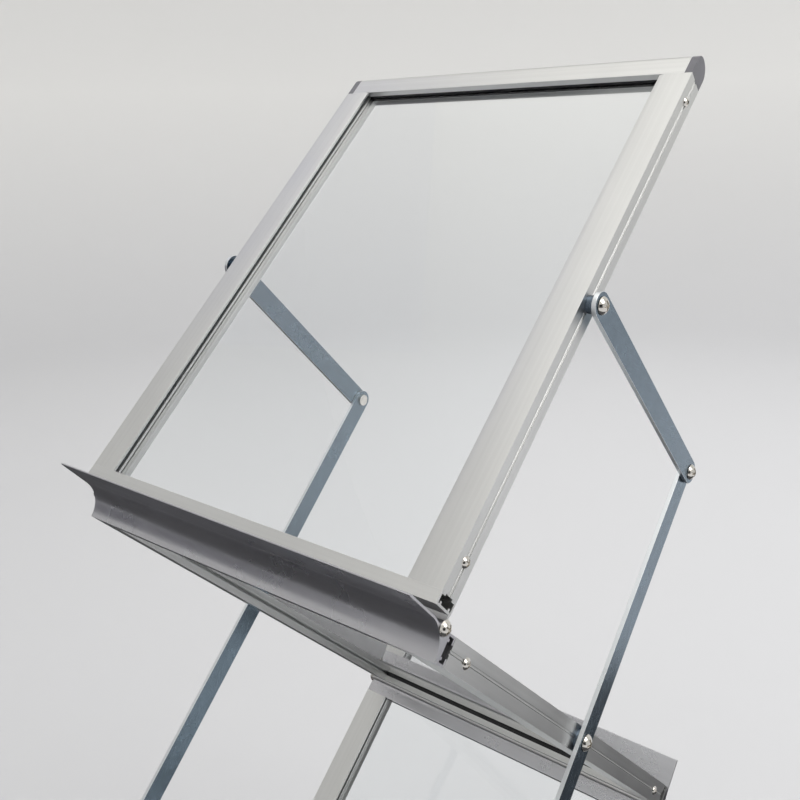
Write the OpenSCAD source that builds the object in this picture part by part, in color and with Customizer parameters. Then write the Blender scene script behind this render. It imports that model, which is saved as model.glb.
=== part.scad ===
// Folding zig-zag display stand for a table or counter.
// Three aluminium frames with clear panels are hinged end to end in a zig-zag
// on a low base. Flat link bars on both sides cross the frames and make them
// fold together like lazy tongs. Each reading face ends in a curved lip.
//
// Every frame is drawn in its own axes: X across, Y down along the face from
// the upper hinge line, Z out of the reading face. The world origin is the
// middle of the base's footprint, on the table, with X across and Y to the back.

/* [Frames] */
// Width of a frame over its stiles
frame_w = 270; // [240:5:300]
// Distance from the upper to the lower hinge line of a frame
hinge_pitch = 354; // [340:2:380]
// Depth of the frame extrusions
frame_t = 14.6; // [14.2:0.2:16]
// Face width of a stile
stile_w = 20; // [19:0.5:22]
// Distance from a hinge line to the panel opening
opening_inset = 12; // [12:0.5:14]
// How far the uppermost rail runs past the frame's upper hinge line
head_overrun = 5; // [4:0.5:8]
// Lean of the frames above the horizontal when the stand is open
lean = 43; // [38:1:45]

/* [Panels] */
// Thickness of a clear panel
panel_t = 3; // [2:0.5:3]
// Depth of the slot that takes the panel and its seal
slot_depth = 4.5; // [4.5:0.1:5]
// Wall of the rubber seals along a panel's upper and lower edge
seal_wall = 1.6; // [1.2:0.1:1.7]

/* [Lips] */
// Length of the flat ledge of a lip
ledge_length = 22; // [16:1:26]
// Radius of the hollow curve under a lip
cove_radius = 17; // [16.8:0.1:17.2]
// Wall of the lip
lip_wall = 1.1; // [0.9:0.1:1.1]

/* [Links] */
// Width of a link bar
link_w = 15; // [12:0.5:15]
// Thickness of a link bar
link_t = 2.5; // [2:0.1:2.5]
// Gap between a frame's side and the inner link bars
link_gap = 2.2; // [2.2:0.1:3]

/* [Base] */
// How much longer the base rails are than a frame's hinge distance
base_overhang = 42; // [42:2:60]
// Height of the lowest hinge line above the base rails
hinge_rise = 21; // [21:0.5:26]
// Height of the rubber feet
foot_h = 5; // [4:0.5:8]

/* [Hidden] */
$fn = 64;

// colours
satin = [0.77, 0.78, 0.80];
shade = [0.56, 0.57, 0.60];
zinc = [0.45, 0.51, 0.57];
bright = [0.85, 0.84, 0.82];
cap_grey = [0.45, 0.45, 0.50];
black = [0.08, 0.08, 0.09];
clear = [0.85, 0.90, 0.93, 0.35];

// hinge geometry: each hinge line stands off the two faces that fold together
face_gap = 0.3;
running_gap = 0.3;
back_n = -face_gap - frame_t;
lower_hinge_n = -frame_t - 2 * face_gap;
mid_n = lower_hinge_n / 2;
link_span = sqrt(pow(hinge_pitch, 2) + pow(lower_hinge_n, 2));
link_angle = lean + atan2(-lower_hinge_n, hinge_pitch);
reach = link_span * cos(link_angle);
rise = link_span * sin(link_angle);
base_length = hinge_pitch + base_overhang;
front_y = 22 - base_length / 2;
rear_y = front_y + reach;
middle_y = front_y + reach / 2;

// extrusions
wall = 1.5;
rail_end = 5.4;
rail_h = opening_inset - rail_end;
rail_wall = 1.2;
chamber_w = 10;
opening_end = hinge_pitch - opening_inset;
rail_slot_w = panel_t + 2 * seal_wall + 0.2;
stile_slot_w = panel_t + 0.4;
slot_lead = 1.3;
face_bevel_w = 3;
face_bevel_t = 0.45;
groove_w = 2.4;
groove_depth = 0.5;
bead_line_r = 0.45;
inner_groove_front = 1.8;
inner_groove_w = 2.2;
inner_groove_depth = 1.2;
cap_t = 5;
head_back_radius = 9;
head_front_radius = 5;

// hinge: a round bead along one frame turns in a C-shaped socket along the next
bead_r = 2.4;
bead_fit = 0.05;
bead_bore_r = 1.25;
neck_t = 1.4;
neck_angle = 16.5;
socket_wall = 1.1;
mouth_start = neck_angle - 24;
mouth_end = neck_angle + 2 * lean + 24;
hinge_head_r = 4;
hinge_head_h = 2.8;
end_screw_length = 8;

// lip section, in the axes of the frame that carries it
cove_s = rail_end - 1.6 - cove_radius;
cove_n = 1 - cove_radius;
ledge_tilt = 90 - 2 * lean;

// link bars
inner_x = frame_w / 2 + link_gap;
outer_x = inner_x + link_t + running_gap;
half_span = link_span / 2;
pivot_r = 2;
screw_fit = 0.05;
pivot_fit = 0.08;
open_pivot_fit = 0.15;
pivot_head_r = 5;
pivot_head_h = 3;
wide_spacer_r = 7;
long_spacer_r = 4.8;
rivet_head_r = 4.5;
rivet_head_h = 1.4;

// screws in the stiles
side_screw_s = 17;
side_screw_r = 1.5;
side_head_r = 3;
side_head_h = 1.7;
key_length = 40;

// base
tube_w = inner_x - frame_w / 2 + stile_w;
tube_h = 18;
tube_wall = 2;
tube_top = foot_h + tube_h;
tube_mid = foot_h + tube_h / 2;
base_axis_z = tube_top + hinge_rise;
block_length = 20;
cross_depth = 20;
cross_inset = 10;
slot_pin_r = 2.9;
slot_half_h = 3.1;
slot_margin = 12;
plate_rise = 8;
foot_r = 8;
foot_inset = 26;
bracket_w = 16;
bracket_x = frame_w / 2 - bracket_w / 2 - 1;
bracket_foot_t = 3;
bracket_foot_end = 34;

// world place of a point given in a frame's own axes, as [y, z] from its hinge line
function leaned(s, n) = [s * cos(lean) + n * sin(lean), n * cos(lean) - s * sin(lean)];

// frames count from the top: 1 upper, 2 middle, 3 lower, 4 the base's lip rail
function is_front_facing(frame) = frame % 2 == 1;
function hinge_z(frame) = base_axis_z + (4 - frame) * rise;
function hinge_y(frame) = is_front_facing(frame) ? rear_y : front_y;
function pivot_z(frame) = hinge_z(frame) - rise / 2;

module at_frame(frame) {
    translate([0, hinge_y(frame), hinge_z(frame)])
        rotate([0, 0, is_front_facing(frame) ? 180 : 0])
            rotate([-lean, 0, 0])
                children();
}

// extrudes a section drawn in Y and Z along X, centred
module along_x(length) {
    rotate([90, 0, 90])
        linear_extrude(length, center = true)
            children();
}

// extrudes a section drawn in X and Z along Y
module along_y(from, to) {
    translate([0, to, 0])
        rotate([90, 0, 0])
            linear_extrude(to - from)
                children();
}

// puts a child drawn with its outer face at x = 0 on the +1 or -1 side of a frame
module on_side(side, half_width = frame_w / 2) {
    if (side > 0) {
        mirror([1, 0, 0])
            translate([-half_width, 0, 0])
                children();
    } else {
        translate([-half_width, 0, 0])
            children();
    }
}

// side of a frame's own axes that faces world left or right
function own_side(frame, side) = is_front_facing(frame) ? -side : side;

module x_cylinder(r, from, to) {
    translate([from, 0, 0])
        rotate([0, 90, 0])
            cylinder(h = to - from, r = r);
}

// domed screw head with a cross recess, on the plane x = 0 and rising towards -x
module domed_head(r, h) {
    ball_r = (r * r + h * h) / (2 * h);
    arm = r * 1.15;
    arm_w = r * 0.28;
    difference() {
        intersection() {
            translate([ball_r - h, 0, 0])
                sphere(r = ball_r);
            x_cylinder(r, -h, 0);
        }
        for (turn = [0, 90])
            rotate([turn, 0, 0])
                translate([-h - 1, -arm / 2, -arm_w / 2])
                    cube([1 + h * 0.6, arm, arm_w]);
    }
}

// screw with its head outside x = -stand_off and its shank running inwards
module domed_screw(head_r, head_h, shank_r, stand_off, length) {
    translate([-stand_off, 0, 0])
        domed_head(head_r, head_h);
    x_cylinder(shank_r, -stand_off, length);
}

// ---- frame extrusions ----

module slot_square(s, slot_w) {
    translate([s, mid_n - slot_w / 2])
        square([slot_depth + 1, slot_w]);
}

// stile from its outer side at x = 0 to the panel opening, with a bevelled inner edge
module stile_section() {
    slot_back = mid_n - stile_slot_w / 2;
    difference() {
        translate([0, back_n])
            square([stile_w, frame_t]);
        translate([wall, back_n + wall])
            square([chamber_w, frame_t - 2 * wall]);
        slot_square(stile_w - slot_depth, stile_slot_w);
        translate([stile_w - inner_groove_depth, -face_gap - inner_groove_front - inner_groove_w])
            square([inner_groove_depth + 1, inner_groove_w]);
        polygon([
            [stile_w - face_bevel_w, -face_gap],
            [stile_w, -face_gap - face_bevel_t],
            [stile_w + 1, -face_gap - face_bevel_t],
            [stile_w + 1, -face_gap + 1],
            [stile_w - face_bevel_w, -face_gap + 1],
        ]);
        polygon([
            [stile_w + 1, slot_back + 0.5],
            [stile_w - slot_lead, slot_back + 0.5],
            [stile_w - slot_lead, slot_back],
            [stile_w, slot_back - slot_lead],
            [stile_w + 1, slot_back - slot_lead],
        ]);
        translate([-1, mid_n - groove_w / 2])
            square([1 + groove_depth, groove_w]);
    }
    // thin round line in the middle of the outer groove
    translate([bead_line_r + 0.05, mid_n])
        circle(bead_line_r);
}

module stile(frame, side) {
    color(satin)
        at_frame(frame)
            on_side(own_side(frame, side))
                difference() {
                    along_y(opening_inset, opening_end)
                        stile_section();
                    for (s = [opening_inset + side_screw_s, opening_end - side_screw_s])
                        translate([0, s, mid_n])
                            x_cylinder(side_screw_r + 0.1, -1, wall + 1);
                    translate([0, hinge_pitch / 2, mid_n])
                        x_cylinder(pivot_r + screw_fit, -1, wall + 1);
                }
}

// rail with its panel slot towards +Y, open inside so that its ends show a stepped hollow
module rail_box() {
    rib_w = 1.4;
    rib_h = 1.3;
    difference() {
        translate([0, back_n])
            square([rail_h, frame_t]);
        difference() {
            translate([rail_wall, back_n + rail_wall])
                square([rail_h - 2 * rail_wall, frame_t - 2 * rail_wall]);
            for (n = [back_n + 2.4, -face_gap - 2.4 - rib_w])
                translate([rail_wall - 0.1, n])
                    square([rib_h + 0.1, rib_w]);
        }
        slot_square(rail_h - slot_depth, rail_slot_w);
    }
}

// bead and its neck, with the rail towards +Y and its back face at z = face_gap
module bead_section() {
    difference() {
        union() {
            circle(bead_r);
            intersection() {
                rotate(neck_angle)
                    translate([0, -neck_t / 2])
                        square([2 * rail_end, neck_t]);
                square([rail_end + 0.2, frame_t]);
            }
        }
        circle(bead_bore_r);
    }
}

module bottom_rail(frame) {
    color(satin)
        at_frame(frame)
            along_x(frame_w)
                translate([hinge_pitch, 0])
                    mirror([1, 0]) {
                        translate([rail_end, 0])
                            rail_box();
                        translate([0, lower_hinge_n])
                            bead_section();
                    }
}

// everything that the bead and its neck need as the hinge turns
module bead_room() {
    far = bead_r + socket_wall + 1;
    circle(bead_r + bead_fit);
    polygon([
        [0, 0],
        [far * cos(mouth_start), far * sin(mouth_start)],
        [far * 1.4 * cos(45), far * 1.4 * sin(45)],
        [far * cos(mouth_end), far * sin(mouth_end)],
    ]);
}

// curved wall from the rail's end up to the flat ledge, with a round front edge
module lip_section() {
    intersection() {
        difference() {
            translate([cove_s, cove_n])
                circle(cove_radius + lip_wall);
            translate([cove_s, cove_n])
                circle(cove_radius);
        }
        translate([cove_s, back_n])
            square([30, 30]);
    }
    translate([cove_s, cove_n])
        rotate(-ledge_tilt)
            translate([-ledge_length, cove_radius]) {
                square([ledge_length + 0.6, lip_wall]);
                translate([0, lip_wall / 2])
                    circle(lip_wall / 2);
            }
}

// socket, and the web that joins it and the lip's foot to the rail
module socket_section() {
    difference() {
        union() {
            circle(bead_r + socket_wall);
            translate([-0.6, back_n])
                square([rail_end + 0.7, frame_t]);
        }
        translate([cove_s, cove_n])
            circle(cove_radius);
        bead_room();
    }
}

module lip_rail(frame) {
    color(shade)
        at_frame(frame)
            along_x(frame_w - 2 * running_gap) {
                translate([rail_end, 0])
                    rail_box();
                difference() {
                    lip_section();
                    bead_room();
                }
                socket_section();
            }
}

// square with its two corners at low Y rounded
module head_outline(length) {
    difference() {
        translate([-head_overrun, back_n])
            square([length, frame_t]);
        translate([-head_overrun, back_n])
            difference() {
                translate([-1, -1])
                    square(head_back_radius + 1);
                translate([head_back_radius, head_back_radius])
                    circle(head_back_radius);
            }
        translate([-head_overrun, -face_gap - head_front_radius])
            difference() {
                translate([-1, 0])
                    square(head_front_radius + 1);
                translate([head_front_radius, 0])
                    circle(head_front_radius);
            }
    }
}

module top_rail(frame) {
    rail_length = head_overrun + opening_inset;
    color(satin)
        at_frame(frame)
            along_x(frame_w - 2 * cap_t)
                difference() {
                    head_outline(rail_length);
                    slot_square(opening_inset - slot_depth, rail_slot_w);
                    translate([-head_overrun + head_back_radius / 2, back_n + head_back_radius / 2])
                        square([5, 7]);
                }
}

module end_caps(frame) {
    rail_length = head_overrun + opening_inset;
    color(cap_grey)
        at_frame(frame)
            for (side = [-1, 1])
                translate([side * (frame_w / 2 - cap_t / 2), 0, 0])
                    along_x(cap_t)
                        head_outline(rail_length);
}

// ---- panels ----

module panel_block(side_margin, end_margin, t) {
    width = frame_w - 2 * stile_w + 2 * side_margin;
    length = opening_end - opening_inset + 2 * end_margin;
    translate([-width / 2, opening_inset - end_margin, mid_n - t / 2])
        cube([width, length, t]);
}

panel_side_margin = slot_depth - 0.2;
panel_end_margin = slot_depth - seal_wall - 0.1;

module panel(frame) {
    color(clear)
        at_frame(frame)
            panel_block(panel_side_margin, panel_end_margin, panel_t);
}

// two U-shaped seals, one along the panel's upper edge and one along its lower edge
module panel_seal(frame) {
    color(black)
        at_frame(frame)
            difference() {
                panel_block(panel_side_margin, slot_depth - 0.05, rail_slot_w - 0.1);
                panel_block(panel_side_margin + 1, panel_end_margin, panel_t);
                panel_block(panel_side_margin + 1, 0, rail_slot_w);
            }
}

// ---- fasteners of a frame ----

module corner_keys(frame) {
    color(shade)
        at_frame(frame)
            for (side = [-1, 1], low = [0, 1])
                on_side(side)
                    translate([wall + 0.1, low ? opening_end - key_length - 1 : opening_inset + 1, 0])
                        difference() {
                            translate([0, 0, back_n + wall + 0.1])
                                cube([chamber_w - 0.2, key_length, frame_t - 2 * wall - 0.2]);
                            translate([0, low ? key_length + 1 - side_screw_s : side_screw_s - 1, mid_n])
                                x_cylinder(side_screw_r + 0.05, -1, chamber_w + 1);
                        }
}

module side_screws(frame) {
    color(bright)
        at_frame(frame)
            for (side = [-1, 1], s = [opening_inset + side_screw_s, opening_end - side_screw_s])
                on_side(side)
                    translate([0, s, mid_n])
                        domed_screw(side_head_r, side_head_h, side_screw_r, 0, 8);
}

// gap from a frame's side to the inner face of its link bar
function bar_gap(frame) = frame == 2 ? link_gap : outer_x - frame_w / 2;

module at_pivots(frame) {
    for (side = [-1, 1])
        translate([0, middle_y, pivot_z(frame)])
            on_side(side)
                children();
}

module pivot_spacers(frame) {
    color(zinc)
        at_pivots(frame)
            difference() {
                x_cylinder(frame == 2 ? wide_spacer_r : long_spacer_r, running_gap - bar_gap(frame), 0);
                x_cylinder(pivot_r + screw_fit, -bar_gap(frame), 1);
            }
}

module pivot_screws(frame) {
    color(bright)
        at_pivots(frame)
            domed_screw(pivot_head_r, pivot_head_h, pivot_r, bar_gap(frame) + link_t + running_gap, 8);
}

module pivot_nuts(frame) {
    nut_h = 3.2;
    color(bright)
        at_pivots(frame)
            difference() {
                translate([wall + 0.1, 0, 0])
                    rotate([0, 90, 0])
                        cylinder(h = nut_h, r = 4.4, $fn = 6);
                x_cylinder(pivot_r + screw_fit, 0, nut_h + 3);
            }
}

// screws in the ends of a frame's bead, whose heads keep it from sliding out of its socket
module hinge_screws(frame) {
    color(bright)
        at_frame(frame)
            translate([0, hinge_pitch, lower_hinge_n])
                for (side = [-1, 1])
                    on_side(side)
                        domed_screw(hinge_head_r, hinge_head_h, bead_bore_r - bead_fit, 0, end_screw_length);
}

// ---- link bars ----

// flat bar with round ends, from the first to the last of its holes along Y
module bar_outline(holes, hole_r) {
    last = len(holes) - 1;
    difference() {
        union() {
            translate([holes[0], -link_w / 2])
                square([holes[last] - holes[0], link_w]);
            for (end = [holes[0], holes[last]])
                translate([end, 0])
                    circle(link_w / 2);
        }
        for (i = [0 : last])
            translate([holes[i], 0])
                circle(hole_r[i]);
    }
}

module link_bar(side, x, frame, slope, holes, hole_r) {
    color(zinc)
        translate([side * (x + link_t / 2), middle_y, pivot_z(frame)])
            rotate([slope, 0, 0])
                along_x(link_t)
                    bar_outline(holes, hole_r);
}

module upper_link(side) {
    link_bar(side, outer_x, 1, -link_angle,
        [0, half_span], [pivot_r + pivot_fit, pivot_r + open_pivot_fit]);
}

module long_link(side) {
    tight = pivot_r + screw_fit;
    link_bar(side, inner_x, 2, link_angle,
        [-half_span, 0, half_span], [tight, pivot_r + pivot_fit, tight]);
}

module lower_link(side) {
    link_bar(side, outer_x, 3, -link_angle,
        [-half_span, 0, half_span],
        [pivot_r + open_pivot_fit, pivot_r + pivot_fit, pivot_r + screw_fit]);
}

// rivet through two crossing bars, with its shank fixed in the inner bar
module link_rivet(y, z, side) {
    inner_end = link_gap - running_gap;
    shank_out = outer_x + link_t + running_gap - frame_w / 2;
    translate([0, y, z])
        on_side(side) {
            domed_screw(pivot_head_r, pivot_head_h, pivot_r, shank_out, -inner_end);
            x_cylinder(rivet_head_r, -link_gap + 0.01, -link_gap + rivet_head_h);
        }
}

module link_rivets(side) {
    color(bright) {
        link_rivet(rear_y, hinge_z(2), side);
        link_rivet(front_y, hinge_z(3), side);
    }
}

// stud fixed in the lower bar that slides in the base's slot plate
module slide_pin(side) {
    color(bright)
        translate([0, rear_y, base_axis_z])
            on_side(side) {
                domed_screw(pivot_head_r, pivot_head_h, pivot_r,
                    outer_x + link_t - frame_w / 2, -(outer_x - frame_w / 2));
                x_cylinder(slot_pin_r, frame_w / 2 - outer_x, running_gap - link_gap);
                x_cylinder(pivot_head_r, running_gap - link_gap, running_gap * 2 - link_gap + 1);
            }
}

// ---- base ----

module base_rail(side) {
    color(satin)
        difference() {
            translate([0, -base_length / 2, 0])
                along_y(0, base_length)
                    on_side_section(side)
                        difference() {
                            translate([0, foot_h])
                                square([tube_w, tube_h]);
                            translate([tube_wall, foot_h + tube_wall])
                                square([tube_w - 2 * tube_wall, tube_h - 2 * tube_wall]);
                        }
            for (y = cross_screw_y)
                translate([0, y, tube_mid])
                    on_side(side, inner_x)
                        x_cylinder(side_screw_r + 0.1, -1, tube_w + 1);
            for (y = plate_screw_y)
                translate([0, y, tube_mid])
                    on_side(side, inner_x)
                        x_cylinder(side_screw_r + 0.1, -1, tube_wall + 1);
            translate([side * bracket_x, front_y + bracket_foot_end - 6, tube_top - tube_wall - 1])
                cylinder(h = tube_wall + 2, r = side_screw_r + 0.1);
        }
}

// a rail's section with its outer face on the inner bars' plane
module on_side_section(side) {
    if (side > 0) {
        mirror([1, 0])
            translate([-inner_x, 0])
                children();
    } else {
        translate([-inner_x, 0])
            children();
    }
}

cross_y = base_length / 2 - cross_inset - cross_depth / 2;
cross_screw_y = [-cross_y, cross_y];
flat_reach = link_span * cos(link_angle - lean);
plate_front = rear_y - slot_margin;
plate_back = front_y + flat_reach + slot_margin;
plate_screw_y = [plate_front + 14, (plate_front + cross_y) / 2];

module base_cross_tubes() {
    cross_w = 2 * (inner_x - tube_w);
    color(satin)
        for (y = cross_screw_y)
            difference() {
                translate([0, y, 0])
                    along_x(cross_w)
                        difference() {
                            translate([-cross_depth / 2, foot_h])
                                square([cross_depth, tube_h]);
                            translate([tube_wall - cross_depth / 2, foot_h + tube_wall])
                                square([cross_depth - 2 * tube_wall, tube_h - 2 * tube_wall]);
                        }
            }
}

// screw blocks held in the ends of the cross tubes
module base_cross_blocks() {
    color(shade)
        for (side = [-1, 1], y = cross_screw_y)
            translate([0, y, tube_mid])
                on_side(side, inner_x - tube_w)
                    difference() {
                        translate([0.1, tube_wall + 0.1 - cross_depth / 2, tube_wall + 0.1 - tube_h / 2])
                            cube([block_length, cross_depth - 2 * tube_wall - 0.2, tube_h - 2 * tube_wall - 0.2]);
                        x_cylinder(side_screw_r + screw_fit, -1, block_length + 1);
                    }
}

module base_end_plugs() {
    color(black)
        for (side = [-1, 1], end = [-1, 1])
            translate([side * (inner_x - tube_w / 2), end * base_length / 2, tube_mid]) {
                translate([0, end, 0])
                    cube([tube_w, 2, tube_h], center = true);
                translate([0, -end * 5, 0])
                    cube([tube_w - 2 * tube_wall - 0.2, 10, tube_h - 2 * tube_wall - 0.2], center = true);
            }
}

module base_feet() {
    color(black)
        for (side = [-1, 1], end = [-1, 1])
            translate([side * (inner_x - tube_w / 2), end * (base_length / 2 - foot_inset), 0]) {
                cylinder(h = 1, r1 = foot_r - 0.6, r2 = foot_r);
                translate([0, 0, 1])
                    cylinder(h = foot_h - 1, r = foot_r);
            }
}

module base_screws() {
    color(bright)
        for (side = [-1, 1]) {
            for (y = cross_screw_y)
                translate([0, y, tube_mid])
                    on_side(side, inner_x)
                        domed_screw(side_head_r, side_head_h, side_screw_r,
                            y > 0 ? link_t : 0, tube_w + block_length - 4);
            for (y = plate_screw_y)
                translate([0, y, tube_mid])
                    on_side(side, inner_x)
                        domed_screw(side_head_r, side_head_h, side_screw_r, link_t, tube_wall + 3);
            translate([side * bracket_x, front_y + bracket_foot_end - 6, tube_top + bracket_foot_t])
                rotate([0, 90, 0])
                    domed_screw(side_head_r, side_head_h, side_screw_r, 0, bracket_foot_t + tube_wall + 3);
        }
}

module plate_outline() {
    corner = 6;
    top = base_axis_z + plate_rise;
    translate([plate_front, foot_h])
        square([plate_back - plate_front, top - corner - foot_h]);
    translate([plate_front + corner, foot_h])
        square([plate_back - plate_front - 2 * corner, top - foot_h]);
    for (y = [plate_front + corner, plate_back - corner])
        translate([y, top - corner])
            circle(corner);
}

module base_slot_plates() {
    slot_front_y = rear_y - 0.2;
    slot_back_y = front_y + flat_reach + 0.2;
    color(zinc)
        for (side = [-1, 1])
            translate([side * (inner_x + link_t / 2), 0, 0])
                along_x(link_t)
                    difference() {
                        plate_outline();
                        translate([slot_front_y, base_axis_z - slot_half_h])
                            square([slot_back_y - slot_front_y, 2 * slot_half_h]);
                        for (y = [slot_front_y, slot_back_y])
                            translate([y, base_axis_z])
                                circle(slot_half_h);
                        for (y = concat(plate_screw_y, [cross_y]))
                            translate([y, tube_mid])
                                circle(side_screw_r + 0.1);
                    }
}

// wedge blocks that carry the base's lip rail on the side rails
module base_lip_brackets() {
    back_low = leaned(opening_inset + 0.05, back_n);
    back_high = leaned(opening_inset + 0.05, -face_gap - 1);
    foot_top = tube_top + bracket_foot_t;
    color(shade)
        for (side = [-1, 1])
            translate([side * bracket_x, front_y, 0])
                difference() {
                    along_x(bracket_w)
                        polygon([
                            [back_low[0], base_axis_z + back_low[1]],
                            [back_low[0] - 3, tube_top],
                            [bracket_foot_end, tube_top],
                            [bracket_foot_end, foot_top],
                            [back_high[0] + 8, foot_top],
                            [back_high[0] + 2, base_axis_z + back_high[1]],
                            [back_high[0], base_axis_z + back_high[1]],
                        ]);
                    translate([0, bracket_foot_end - 6, tube_top - 1])
                        cylinder(h = bracket_foot_t + 2, r = side_screw_r + 0.1);
                }
}

base_rail(-1);  // base_left_rail
base_rail(1);  // base_right_rail
base_cross_tubes();
base_end_plugs();
base_feet();
base_screws();
base_cross_blocks();
base_slot_plates();
base_lip_brackets();
lip_rail(4);  // base_lip_rail
stile(3, -1);  // lower_left_stile
stile(3, 1);  // lower_right_stile
lip_rail(3);  // lower_lip_rail
bottom_rail(3);  // lower_bottom_rail
panel(3);  // lower_panel
panel_seal(3);  // lower_panel_seal
corner_keys(3);  // lower_corner_keys
side_screws(3);  // lower_side_screws
pivot_spacers(3);  // lower_pivot_spacers
pivot_screws(3);  // lower_pivot_screws
pivot_nuts(3);  // lower_pivot_nuts
hinge_screws(3);  // lower_hinge_screws
stile(2, -1);  // middle_left_stile
stile(2, 1);  // middle_right_stile
lip_rail(2);  // middle_lip_rail
bottom_rail(2);  // middle_bottom_rail
panel(2);  // middle_panel
panel_seal(2);  // middle_panel_seal
corner_keys(2);  // middle_corner_keys
side_screws(2);  // middle_side_screws
pivot_spacers(2);  // middle_pivot_spacers
pivot_screws(2);  // middle_pivot_screws
pivot_nuts(2);  // middle_pivot_nuts
hinge_screws(2);  // middle_hinge_screws
stile(1, -1);  // upper_left_stile
stile(1, 1);  // upper_right_stile
top_rail(1);  // upper_top_rail
bottom_rail(1);  // upper_bottom_rail
panel(1);  // upper_panel
panel_seal(1);  // upper_panel_seal
corner_keys(1);  // upper_corner_keys
side_screws(1);  // upper_side_screws
pivot_spacers(1);  // upper_pivot_spacers
pivot_screws(1);  // upper_pivot_screws
pivot_nuts(1);  // upper_pivot_nuts
hinge_screws(1);  // upper_hinge_screws
end_caps(1);  // upper_end_caps
upper_link(-1);  // upper_left_link
upper_link(1);  // upper_right_link
long_link(-1);  // long_left_link
long_link(1);  // long_right_link
lower_link(-1);  // lower_left_link
lower_link(1);  // lower_right_link
link_rivets(-1);  // left_link_rivets
link_rivets(1);  // right_link_rivets
slide_pin(-1);  // left_slide_pin
slide_pin(1);  // right_slide_pin
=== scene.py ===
import math

import bpy
from mathutils import Matrix, Vector

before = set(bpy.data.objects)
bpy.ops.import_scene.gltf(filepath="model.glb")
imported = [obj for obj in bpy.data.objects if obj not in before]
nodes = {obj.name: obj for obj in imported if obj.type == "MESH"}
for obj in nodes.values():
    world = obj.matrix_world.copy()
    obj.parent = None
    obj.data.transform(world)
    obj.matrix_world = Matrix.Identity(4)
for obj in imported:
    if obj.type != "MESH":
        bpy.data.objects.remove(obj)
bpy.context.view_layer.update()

MM = 0.001

# angles of the frames and of the link bars above the horizontal
LEAN = math.radians(43)
LINK_SLOPE = math.radians(45.46)

# depth of the groove beside the panel in the stiles' inner sides
GROOVE_DEPTH = 1.2 * MM

# edges sharper than SHARP_EDGE stay crisp, and those sharper than ROUNDED_EDGE get a small round
SHARP_EDGE = math.radians(21)
ROUNDED_EDGE = math.radians(38)
FLAT_WITHIN = math.radians(0.5)
WELD_WITHIN = 0.002 * MM


# ---- materials ----


class Graph:
    """A material and the helpers that add nodes to it."""

    def __init__(self, name, **sockets):
        self.material = bpy.data.materials.new(name)
        self.material.use_nodes = True
        self.tree = self.material.node_tree
        self.shader = self.tree.nodes["Principled BSDF"]
        for socket, value in sockets.items():
            self.shader.inputs[socket.replace("_", " ")].default_value = value

    def node(self, kind, **settings):
        made = self.tree.nodes.new(kind)
        for key, value in settings.items():
            setattr(made, key, value)
        return made

    def link(self, source, target):
        self.tree.links.new(source, target)

    def noise(self, cell, turn=0.0, detail=3.0, rough=0.55, seed=0.0):
        """Noise value with cells of the given size in metres, turned about X."""
        place = self.node("ShaderNodeTexCoord")
        turned = self.node("ShaderNodeMapping", vector_type="TEXTURE")
        turned.inputs["Location"].default_value = [size * seed * 10 for size in cell]
        turned.inputs["Rotation"].default_value = (turn, 0, 0)
        turned.inputs["Scale"].default_value = cell
        made = self.node("ShaderNodeTexNoise")
        made.inputs["Scale"].default_value = 1.0
        made.inputs["Detail"].default_value = detail
        made.inputs["Roughness"].default_value = rough
        self.link(place.outputs["Object"], turned.inputs["Vector"])
        self.link(turned.outputs["Vector"], made.inputs["Vector"])
        return made.outputs["Fac"]

    def spread(self, value, low, high, start=0.3, end=0.7):
        """Maps a noise value onto low to high."""
        made = self.node("ShaderNodeMapRange")
        made.inputs["From Min"].default_value = start
        made.inputs["From Max"].default_value = end
        made.inputs["To Min"].default_value = low
        made.inputs["To Max"].default_value = high
        self.link(value, made.inputs["Value"])
        return made.outputs["Result"]

    def math(self, operation, a, b):
        made = self.node("ShaderNodeMath", operation=operation)
        for socket, value in zip(made.inputs, (a, b)):
            if isinstance(value, (int, float)):
                socket.default_value = value
            else:
                self.link(value, socket)
        return made.outputs["Value"]

    def tint(self, factor, dark, light):
        """Colour between dark and light."""
        made = self.node("ShaderNodeMix", data_type="RGBA")
        made.inputs[6].default_value = (*dark, 1)
        made.inputs[7].default_value = (*light, 1)
        self.link(factor, made.inputs["Factor"])
        return made.outputs[2]

    def height(self, low, high):
        """0 at the low and 1 at the high level above the floor, in metres."""
        place = self.node("ShaderNodeTexCoord")
        parts = self.node("ShaderNodeSeparateXYZ")
        self.link(place.outputs["Object"], parts.inputs["Vector"])
        return self.spread(parts.outputs["Z"], 0, 1, low, high)

    def bump(self, height, strength, distance, onto=None):
        made = self.node("ShaderNodeBump")
        made.inputs["Strength"].default_value = strength
        made.inputs["Distance"].default_value = distance
        self.link(height, made.inputs["Height"])
        if onto is not None:
            self.link(onto, made.inputs["Normal"])
        return made.outputs["Normal"]

    def set(self, socket, source):
        self.link(source, self.shader.inputs[socket])


def scaled(colour, factor):
    return tuple(min(1.0, c * factor) for c in colour)


def cells(along, long, fine):
    """Cell sizes of a streak that runs along X or along Y."""
    return (long, fine, fine) if along == "x" else (fine, long, fine)


def extruded_aluminium(name, along, turn, colour, rough, streak=0.03):
    """Satin anodised extrusion: soft die lines and faint handling marks."""
    g = Graph(name, Metallic=1.0)
    lines = g.noise(cells(along, 0.6, 0.0025), turn, detail=2.0, seed=3.1)
    cloud = g.noise((0.05,) * 3, detail=4.0, seed=1.7)
    dull = scaled(colour, 1 - streak)
    clean = scaled(colour, 1 + streak)
    g.set("Base Color", g.tint(g.spread(lines, 0, 1), dull, clean))
    g.set("Roughness", g.spread(cloud, rough - 0.04, rough + 0.06))
    g.set("Normal", g.bump(lines, 0.05, 0.00002))
    return g.material


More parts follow.
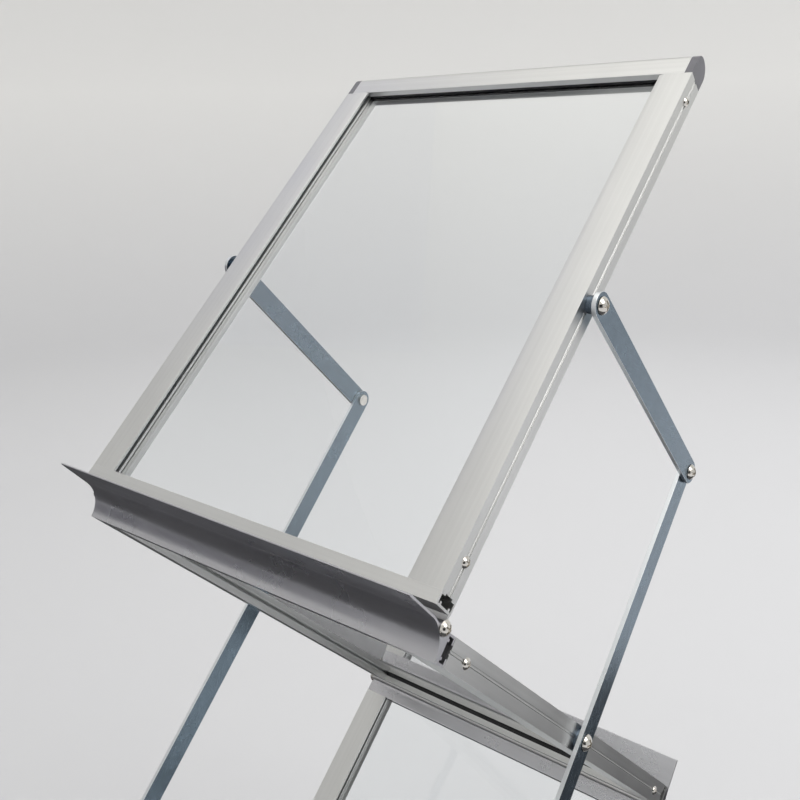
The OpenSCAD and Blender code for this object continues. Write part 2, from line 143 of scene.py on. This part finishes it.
def edge_highlight(name, colour):
    """Painted highlight for the edges of an anodised or plated piece: brighter and smoother than its
    faces.
    """
    g = Graph(name, Metallic=1.0)
    patchy = g.noise((0.05,) * 3, detail=2.0, seed=2.2)
    g.set("Base Color", g.tint(g.spread(patchy, 0, 1), scaled(colour, 0.92), colour))
    g.set("Roughness", g.spread(patchy, 0.26, 0.34))
    return g.material


def zinc_plate(name, turn, colour, along="y"):
    """Zinc-plated flat bar: rolling lines, a soft cloudy sheen and a few fine scratches."""
    g = Graph(name, Metallic=1.0)
    roll = g.noise(cells(along, 0.12, 0.0009), turn, detail=3.0)
    cloud = g.noise((0.018,) * 3, detail=5.0, rough=0.6, seed=4.4)
    spangle = g.noise((0.003,) * 3, detail=3.0, seed=8.8)
    scratch = g.noise(cells(along, 0.03, 0.00025), turn + 0.35, detail=1.0, seed=6.1)
    tone = g.math("ADD", g.math("MULTIPLY", cloud, 0.6), g.math("MULTIPLY", spangle, 0.4))
    g.set("Base Color", g.tint(g.spread(tone, 0, 1), scaled(colour, 0.86), scaled(colour, 1.14)))
    sheen = g.spread(cloud, 0.2, 0.3)
    scratched = g.spread(scratch, 0.0, 0.1, start=0.66, end=0.76)
    g.set("Roughness", g.math("ADD", sheen, scratched))
    soft = g.bump(spangle, 0.1, 0.00008)
    g.set("Normal", g.bump(roll, 0.2, 0.00005, soft))
    return g.material


def bright_metal(name, colour, low, high, cell=0.0012):
    """Plated or ground small part, slightly uneven and faintly marked."""
    g = Graph(name, Metallic=1.0)
    cloud = g.noise((cell * 3,) * 3, detail=4.0, seed=9.4)
    marks = g.noise((cell * 0.3,) * 3, detail=2.0, seed=0.8)
    g.set("Base Color", g.tint(g.spread(cloud, 0, 1), scaled(colour, 0.84), colour))
    g.set("Roughness", g.spread(cloud, low, high))
    g.set("Normal", g.bump(marks, 0.12, 0.00003))
    return g.material


def moulded(name, colour, rough, cell=0.0004, strength=0.35):
    """Moulded plastic or rubber with a fine spark-eroded grain."""
    g = Graph(name)
    grain = g.noise((cell,) * 3, detail=2.0)
    cloud = g.noise((0.012,) * 3, detail=4.0, seed=2.9)
    g.set("Base Color", g.tint(g.spread(cloud, 0, 1), scaled(colour, 0.85), scaled(colour, 1.2)))
    g.set("Roughness", g.spread(cloud, rough - 0.06, rough + 0.08))
    g.set("Normal", g.bump(grain, strength, 0.00006))
    return g.material


def acrylic(name):
    """Clear acrylic sheet with the faintest smears and a cool tint in its thickness."""
    g = Graph(name, Base_Color=(0.965, 0.982, 0.985, 1), IOR=1.49, Transmission_Weight=1.0)
    smear = g.noise((0.09, 0.03, 0.03), LEAN, detail=4.0)
    g.set("Roughness", g.spread(smear, 0.0, 0.035, 0.5, 0.8))
    wave = g.noise((0.12,) * 3, detail=1.0, seed=7.5)
    g.set("Normal", g.bump(wave, 0.03, 0.0004))
    return g.material


SATIN = (0.70, 0.705, 0.70)
LIP_GREY = (0.58, 0.58, 0.61)
ZINC = (0.21, 0.27, 0.325)
NICKEL = (0.86, 0.83, 0.78)

stile_turn = {"upper": LEAN, "lower": LEAN, "middle": -LEAN}
rail_satin = extruded_aluminium("rail_satin", "x", LEAN, SATIN, 0.34)
lip_satin = extruded_aluminium("lip_satin", "x", 0.0, LIP_GREY, 0.28, streak=0.02)
base_x = extruded_aluminium("base_tube_satin", "x", 0.0, SATIN, 0.36)
base_y = extruded_aluminium("base_rail_satin", "y", 0.0, SATIN, 0.36)
stile_satin = {
    level: extruded_aluminium(f"{level}_stile_satin", "y", turn, SATIN, 0.34)
    for level, turn in stile_turn.items()
}
# edge materials: painted highlights, lighter in colour than the faces they border
edge_bright = edge_highlight("aluminium_edge_painted_highlight", (0.9, 0.9, 0.91))
edge_zinc = edge_highlight("zinc_edge_painted_highlight", (0.88, 0.91, 0.94))
edge_lip = edge_highlight("lip_edge_painted_highlight", (0.66, 0.66, 0.68))
rising_bar = zinc_plate("zinc_bar_rising", LINK_SLOPE, ZINC)
falling_bar = zinc_plate("zinc_bar_falling", -LINK_SLOPE, ZINC)
plate_zinc = zinc_plate("zinc_slot_plate", 0.0, ZINC)
nickel = bright_metal("nickel_screw", NICKEL, 0.05, 0.14)
spacer_zinc = bright_metal("zinc_spacer", (0.16, 0.20, 0.25), 0.25, 0.4)
cast_grey = bright_metal("cast_block", (0.5, 0.5, 0.52), 0.45, 0.6, cell=0.002)
cap_grey = moulded("cap_plastic", (0.15, 0.15, 0.17), 0.38)
# painted shade: black colour for the stiles' groove floors, standing in for the shadow in that recess
groove_painted_shade = moulded("groove_painted_shade", (0.03, 0.034, 0.04), 0.5)
black_plastic = moulded("black_plug_plastic", (0.02, 0.02, 0.022), 0.5)
seal_black = moulded("seal_rubber", (0.012, 0.012, 0.014), 0.55, cell=0.0006)
foot_black = moulded("foot_rubber", (0.016, 0.016, 0.016), 0.7, cell=0.0008, strength=0.6)
clear = acrylic("clear_acrylic")


def look_of(name):
    """(face material, edge material, bevel width in mm) of a CAD node."""
    level = name.split("_")[0]
    if name.endswith("_stile"):
        return stile_satin[level], edge_bright, 0.25
    if name.endswith("lip_rail"):
        return lip_satin, edge_lip, 0.2
    if name.endswith("bottom_rail") or name.endswith("top_rail"):
        return rail_satin, edge_bright, 0.2
    if name.endswith("_panel"):
        return clear, None, 0.0
    if name.endswith("panel_seal"):
        return seal_black, None, 0.0
    if name.endswith("_link"):
        return (rising_bar if level == "long" else falling_bar), edge_zinc, 0.3
    if name == "base_slot_plates":
        return plate_zinc, edge_zinc, 0.3
    if name in ("base_left_rail", "base_right_rail"):
        return base_y, edge_bright, 0.4
    if name == "base_cross_tubes":
        return base_x, edge_bright, 0.4
    if name == "base_lip_brackets":
        return base_x, edge_bright, 0.3
    if name == "base_cross_blocks" or name.endswith("corner_keys"):
        return cast_grey, None, 0.0
    if name == "base_end_plugs":
        return black_plastic, None, 0.5
    if name == "base_feet":
        return foot_black, None, 0.4
    if name == "upper_end_caps":
        return cap_grey, None, 0.35
    if name.endswith("spacers"):
        return spacer_zinc, None, 0.2
    return nickel, None, 0.12


# ---- surface finish of the CAD nodes ----


def smooth_group():
    """Geometry nodes that join the mesh's split corners and smooth everything but its sharp edges."""
    group = bpy.data.node_groups.new("joined_and_smoothed", "GeometryNodeTree")
    group.interface.new_socket("Geometry", in_out="INPUT", socket_type="NodeSocketGeometry")
    group.interface.new_socket("Geometry", in_out="OUTPUT", socket_type="NodeSocketGeometry")
    start = group.nodes.new("NodeGroupInput")
    end = group.nodes.new("NodeGroupOutput")
    join = group.nodes.new("GeometryNodeMergeByDistance")
    join.inputs["Distance"].default_value = WELD_WITHIN
    faces = group.nodes.new("GeometryNodeSetShadeSmooth")
    faces.domain = "FACE"
    edges = group.nodes.new("GeometryNodeSetShadeSmooth")
    edges.domain = "EDGE"
    edges.inputs["Shade Smooth"].default_value = False
    angle = group.nodes.new("GeometryNodeInputMeshEdgeAngle")
    sharp = group.nodes.new("FunctionNodeCompare")
    sharp.data_type = "FLOAT"
    sharp.operation = "GREATER_THAN"
    sharp.inputs["B"].default_value = SHARP_EDGE
    for source, target in (
        (start.outputs["Geometry"], join.inputs["Geometry"]),
        (join.outputs["Geometry"], faces.inputs["Geometry"]),
        (faces.outputs["Geometry"], edges.inputs["Geometry"]),
        (angle.outputs["Unsigned Angle"], sharp.inputs["A"]),
        (sharp.outputs["Result"], edges.inputs["Selection"]),
        (edges.outputs["Geometry"], end.inputs["Geometry"]),
    ):
        group.links.new(source, target)
    return group


smoothing = smooth_group()


def darken_groove(piece):
    """Paints shade on the floor of the groove beside the panel: a black colour, as the stile's third
    material.
    """
    inner = min(abs(vertex.co.x) for vertex in piece.data.vertices)
    piece.data.materials.append(groove_painted_shade)
    for polygon in piece.data.polygons:
        depth = abs(polygon.center.x) - inner
        if abs(polygon.normal.x) > 0.9 and abs(depth - GROOVE_DEPTH) < 0.1 * MM:
            polygon.material_index = 2


def finish_node(name, piece):
    face, edge, bevel = look_of(name)
    piece.data.materials.clear()
    piece.data.materials.append(face)
    if edge is not None:
        piece.data.materials.append(edge)
    # the stile's groove floor gets painted shade
    if name.endswith("_stile"):
        darken_groove(piece)
    if name.endswith("_link"):
        # painted highlight: the bar's narrow sides get the bright edge colour, and its flat faces keep
        # the zinc colour
        for polygon in piece.data.polygons:
            polygon.material_index = 0 if abs(polygon.normal.x) > 0.5 else 1
    join = piece.modifiers.new("join", "NODES")
    join.node_group = smoothing
    if bevel:
        flat = piece.modifiers.new("flat", "DECIMATE")
        flat.decimate_type = "DISSOLVE"
        flat.angle_limit = FLAT_WITHIN
        round_off = piece.modifiers.new("edges", "BEVEL")
        round_off.width = bevel * MM
        round_off.segments = 2
        round_off.limit_method = "ANGLE"
        round_off.angle_limit = ROUNDED_EDGE
        round_off.use_clamp_overlap = True
        round_off.harden_normals = True
        # the rounded edges get the edge material, a painted highlight
        if edge is not None:
            round_off.material = 1


for name, piece in nodes.items():
    finish_node(name, piece)


# ---- stage, light and camera ----


def backdrop():
    """Round floor that sweeps up into a wall, so that every view has a seamless pale ground."""
    flat_radius = 3.0
    sweep = 1.5
    wall_top = 5.0
    profile = [(0.0, 0.0), (flat_radius, 0.0)]
    steps = 12
    for i in range(1, steps + 1):
        turn = math.radians(90 * i / steps)
        profile.append((flat_radius + sweep * math.sin(turn), sweep * (1 - math.cos(turn))))
    profile.append((flat_radius + sweep, wall_top))
    spokes = 64
    points = [(0.0, 0.0, 0.0)]
    for radius, height in profile[1:]:
        for k in range(spokes):
            turn = 2 * math.pi * k / spokes
            points.append((radius * math.cos(turn), radius * math.sin(turn), height))
    faces = [(0, 1 + k, 1 + (k + 1) % spokes) for k in range(spokes)]
    for ring in range(len(profile) - 2):
        first = 1 + ring * spokes
        for k in range(spokes):
            after = (k + 1) % spokes
            faces.append((first + k, first + after, first + spokes + after, first + spokes + k)[::-1])
    mesh = bpy.data.meshes.new("backdrop")
    mesh.from_pydata(points, [], faces)
    mesh.shade_smooth()
    made = bpy.data.objects.new("backdrop", mesh)
    bpy.context.scene.collection.objects.link(made)
    g = Graph("backdrop_paper", Roughness=0.9, Specular_IOR_Level=0.1)
    g.set("Base Color", g.tint(g.height(0.0, 1.0), (0.59, 0.595, 0.615), (0.84, 0.84, 0.835)))
    mesh.materials.append(g.material)
    return made


backdrop()


def facing(place, target, axis):
    """Rotation that turns the given axis of something at place towards target."""
    return (Vector(target) - Vector(place)).to_track_quat(axis, "Y").to_euler()


def area_light(name, place, target, size, power, colour=(1, 1, 1)):
    """Softbox that is seen neither in reflections nor through the clear panels."""
    data = bpy.data.lights.new(name, "AREA")
    data.shape = "RECTANGLE"
    data.size, data.size_y = size
    data.energy = power
    data.color = colour
    light = bpy.data.objects.new(name, data)
    bpy.context.scene.collection.objects.link(light)
    light.location = place
    light.rotation_euler = facing(place, target, "-Z")
    light.visible_glossy = False
    light.visible_transmission = False
    return light


def reflected_card(name, place, target, width, height, grey):
    """Card that only reflections show: it gives the metal something darker to mirror."""
    mesh = bpy.data.meshes.new(name)
    x, y = width / 2, height / 2
    mesh.from_pydata([(-x, -y, 0), (x, -y, 0), (x, y, 0), (-x, y, 0)], [], [(0, 1, 2, 3)])
    card = bpy.data.objects.new(name, mesh)
    bpy.context.scene.collection.objects.link(card)
    card.location = place
    card.rotation_euler = facing(place, target, "Z")
    paint = Graph(name, Base_Color=(grey, grey, grey * 1.1, 1), Roughness=0.8)
    mesh.materials.append(paint.material)
    for ray in ("camera", "diffuse", "transmission", "volume_scatter", "shadow"):
        setattr(card, f"visible_{ray}", False)


centre = (0, 0, 0.42)
reflected_card("floor_card", (-0.5, -0.5, 0.004), (-0.5, -0.5, 1), 2.3, 2.3, 0.05)
reflected_card("left_card", (-1.9, -1.5, 0.45), centre, 1.8, 1.1, 0.22)
reflected_card("upper_left_card", (-2.0, 0.1, 2.4), centre, 1.3, 1.1, 0.9)
reflected_card("right_card", (2.0, -1.3, 0.7), centre, 1.2, 1.3, 0.03)
area_light("overhead", (0.3, 0.3, 3.6), (0, 0, 0.3), (3.0, 3.0), 24)
area_light("back", (-0.6, 2.6, 2.4), centre, (2.0, 1.2), 8)
area_light("wall_wash", (0.8, 1.0, 2.6), (-1.2, 4.3, 0.9), (1.5, 1.5), 20)
right_side = (0.13, -0.05, 0.6)
key = area_light("key", (2.3, 0.0, 2.6), right_side, (1.8, 1.8), 26, (1.0, 0.99, 0.97))
key.visible_glossy = True


def studio_world():
    """Room light that grows softly from the top of the wall to the ceiling."""
    world = bpy.data.worlds.new("studio")
    world.use_nodes = True
    tree = world.node_tree
    background = tree.nodes["Background"]
    background.inputs["Color"].default_value = (1.0, 0.985, 0.95, 1)
    direction = tree.nodes.new("ShaderNodeTexCoord")
    parts = tree.nodes.new("ShaderNodeSeparateXYZ")
    growth = tree.nodes.new("ShaderNodeMapRange")
    growth.interpolation_type = "SMOOTHSTEP"
    wall_top_height = 0.69
    ceiling_height = 0.93
    growth.inputs["From Min"].default_value = wall_top_height
    growth.inputs["From Max"].default_value = ceiling_height
    growth.inputs["To Min"].default_value = 0.66
    growth.inputs["To Max"].default_value = 1.25
    tree.links.new(direction.outputs["Generated"], parts.inputs["Vector"])
    tree.links.new(parts.outputs["Z"], growth.inputs["Value"])
    tree.links.new(growth.outputs["Result"], background.inputs["Strength"])
    return world


bpy.context.scene.world = studio_world()


def photo_camera():
    """Camera at the photograph's angle, to the right of the stand's front and slightly above."""
    data = bpy.data.cameras.new("camera")
    data.sensor_width = 36
    data.lens = 41.76
    data.shift_y = -0.06
    data.clip_start = 0.01
    camera = bpy.data.objects.new("camera", data)
    bpy.context.scene.collection.objects.link(camera)
    azimuth = math.radians(40.09)
    elevation = math.radians(13.08)
    roll = math.radians(-1.30)
    level = math.cos(elevation)
    look = Vector((-math.sin(azimuth) * level, math.cos(azimuth) * level, -math.sin(elevation)))
    aimed = look.to_track_quat("-Z", "Y").to_matrix()
    camera.location = (0.361, -0.471, 0.761)
    camera.rotation_euler = (aimed @ Matrix.Rotation(roll, 3, "Z")).to_euler()
    return camera


bpy.context.scene.camera = photo_camera()
bpy.context.scene.view_settings.view_transform = "Standard"
